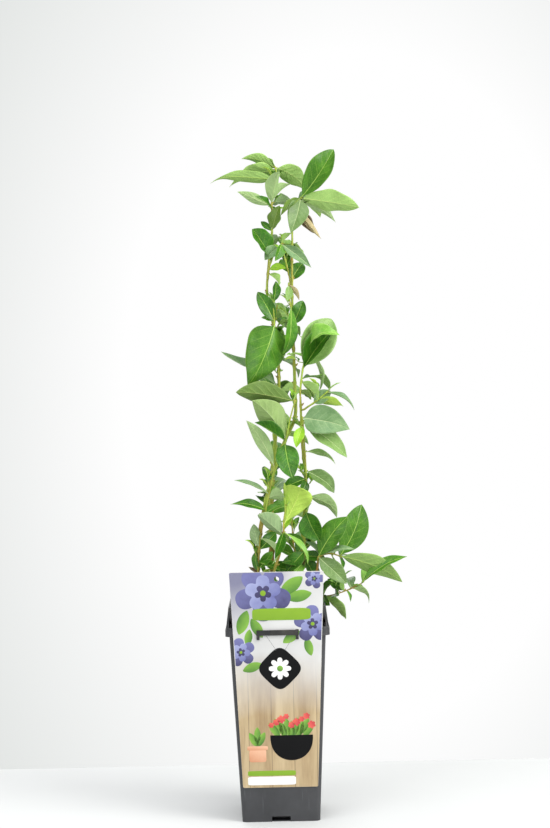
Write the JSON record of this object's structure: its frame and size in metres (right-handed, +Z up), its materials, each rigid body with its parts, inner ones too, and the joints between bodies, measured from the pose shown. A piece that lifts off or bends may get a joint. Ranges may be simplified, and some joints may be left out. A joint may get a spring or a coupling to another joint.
{
  "type": "blueberry bush in a pot",
  "caption": "Young blueberry bush of thin leafy stems in a deep square charcoal nursery pot with a picture card on its front.",
  "frame": {"origin": "centre of the pot's flat underside", "axes": "+Z up, -Y towards the front with the picture card, +X to the right of the card"},
  "size_m": [0.217, 0.1466, 0.795],
  "materials": {
    "pot": "satin",
    "soil": "rough",
    "card": "satin print",
    "stem": "satin",
    "leaf": "satin"
  },
  "bodies": {
    "root": {"pot": "pot", "soil": "soil", "label_card": "card", "label_clip": "pot", "stem_tall": "stem", "stem_left": "stem", "stem_right": "stem", "bough_low_right": "stem", "bough_far_right": "stem", "bough_front": "stem", "foliage_top_left": "leaf", "foliage_top_right": "leaf", "foliage_upper_left": "leaf", "foliage_back_upper": "leaf", "foliage_centre_upper": "leaf", "foliage_middle_left": "leaf", "foliage_back_middle": "leaf", "foliage_right_tip": "leaf", "foliage_right_cluster": "leaf", "foliage_centre_left": "leaf", "foliage_back_centre": "leaf", "foliage_right_middle": "leaf", "foliage_left_low": "leaf", "foliage_front_lime": "leaf", "foliage_back_low": "leaf", "foliage_right_low": "leaf", "foliage_left_foot": "leaf", "foliage_back_foot": "leaf", "foliage_low_right": "leaf", "foliage_far_right": "leaf"}
  },
  "joints": []
}
